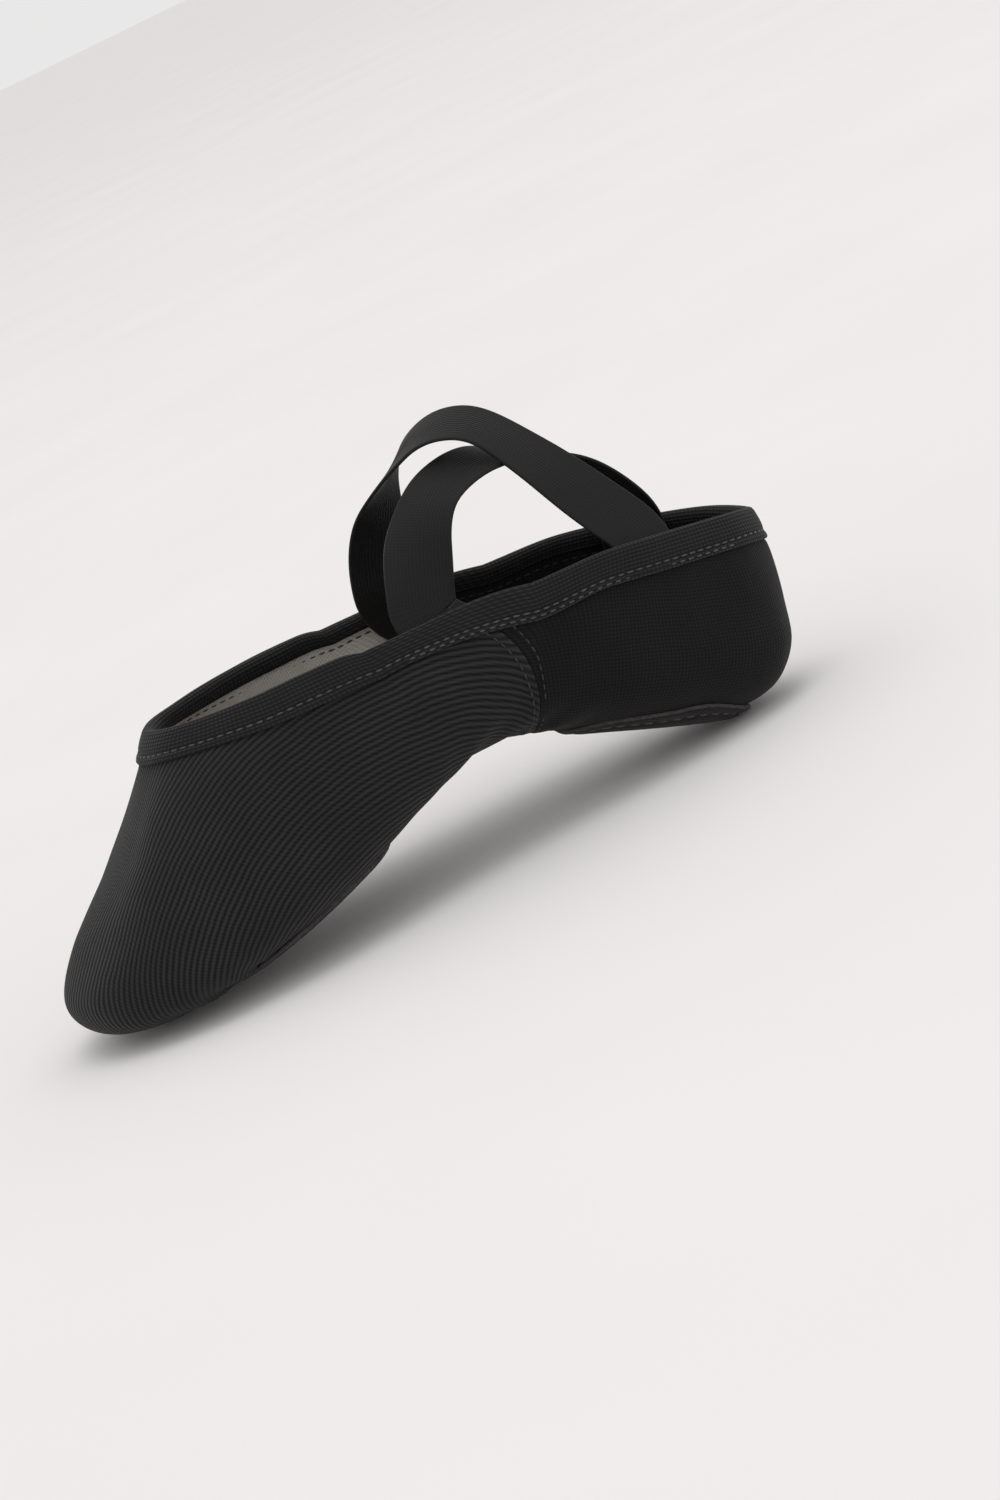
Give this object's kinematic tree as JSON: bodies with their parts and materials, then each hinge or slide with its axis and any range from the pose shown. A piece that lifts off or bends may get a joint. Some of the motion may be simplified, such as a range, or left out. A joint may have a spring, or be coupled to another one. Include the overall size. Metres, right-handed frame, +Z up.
{
  "type": "ballet slipper",
  "caption": "Soft split-sole ballet slipper in its relaxed arched shape, with suede sole patches, a folded binding round the opening and crossed elastic instep straps.",
  "frame": {"origin": "middle of the base on the floor, where the toe and heel rest", "axes": "+X toward the toe, +Y to the left of a slipper seen from above with its toe ahead, +Z up"},
  "size_m": [0.2358, 0.0846, 0.1165],
  "materials": {
    "canvas": "matt black ribbed canvas",
    "cotton": "plain woven off-white lining",
    "cotton_black": "plain woven black lining",
    "tape": "matt black folded binding tape",
    "elastic": "black ribbed elastic webbing",
    "suede": "black napped suede",
    "thread": "black sewing thread",
    "foam": "grey soft foam",
    "sock": "grey brushed cotton"
  },
  "bodies": {
    "forefoot": {"front_panel": "canvas", "front_lining": "cotton", "front_binding": "tape", "front_binding_stitching": "thread", "forefoot_patch": "suede", "forefoot_patch_stitching": "thread", "forefoot_pad": "foam", "forefoot_sock": "sock", "front_centre_seam": "thread", "arch_seam_stitching": "thread", "tack_front_right": "thread", "tack_front_left": "thread"},
    "heel": {"rear_panel": "canvas", "rear_lining": "cotton_black", "rear_binding": "tape", "rear_binding_stitching": "thread", "heel_patch": "suede", "heel_patch_stitching": "thread", "heel_pad": "foam", "heel_sock": "sock", "tack_rear_right": "thread", "tack_rear_left": "thread"},
    "under_strap": {"strap_under": "elastic"},
    "over_strap": {"strap_over": "elastic"}
  },
  "joints": [
    {"name": "arch_flex", "type": "hinge", "parent": "forefoot", "child": "heel", "pos_m": [-0.01473, 0, 0.06952], "axis": [0, 1, 0], "range_deg": [-8, 38], "stiffness_Nm_per_rad": 0.15},
    {"name": "under_strap_lean", "type": "hinge", "parent": "heel", "child": "under_strap", "pos_m": [-0.04815, 0.00248, 0.06514], "axis": [0.847, 0.52, 0.1109], "range_deg": [-4, 12], "stiffness_Nm_per_rad": 0.01},
    {"name": "over_strap_lean", "type": "hinge", "parent": "heel", "child": "over_strap", "pos_m": [-0.04815, -0.00248, 0.06514], "axis": [0.847, -0.52, 0.1109], "range_deg": [-4, 12], "stiffness_Nm_per_rad": 0.01}
  ],
  "couplings": [
    {"joint": "over_strap_lean", "follows": "under_strap_lean", "ratio": 1}
  ]
}
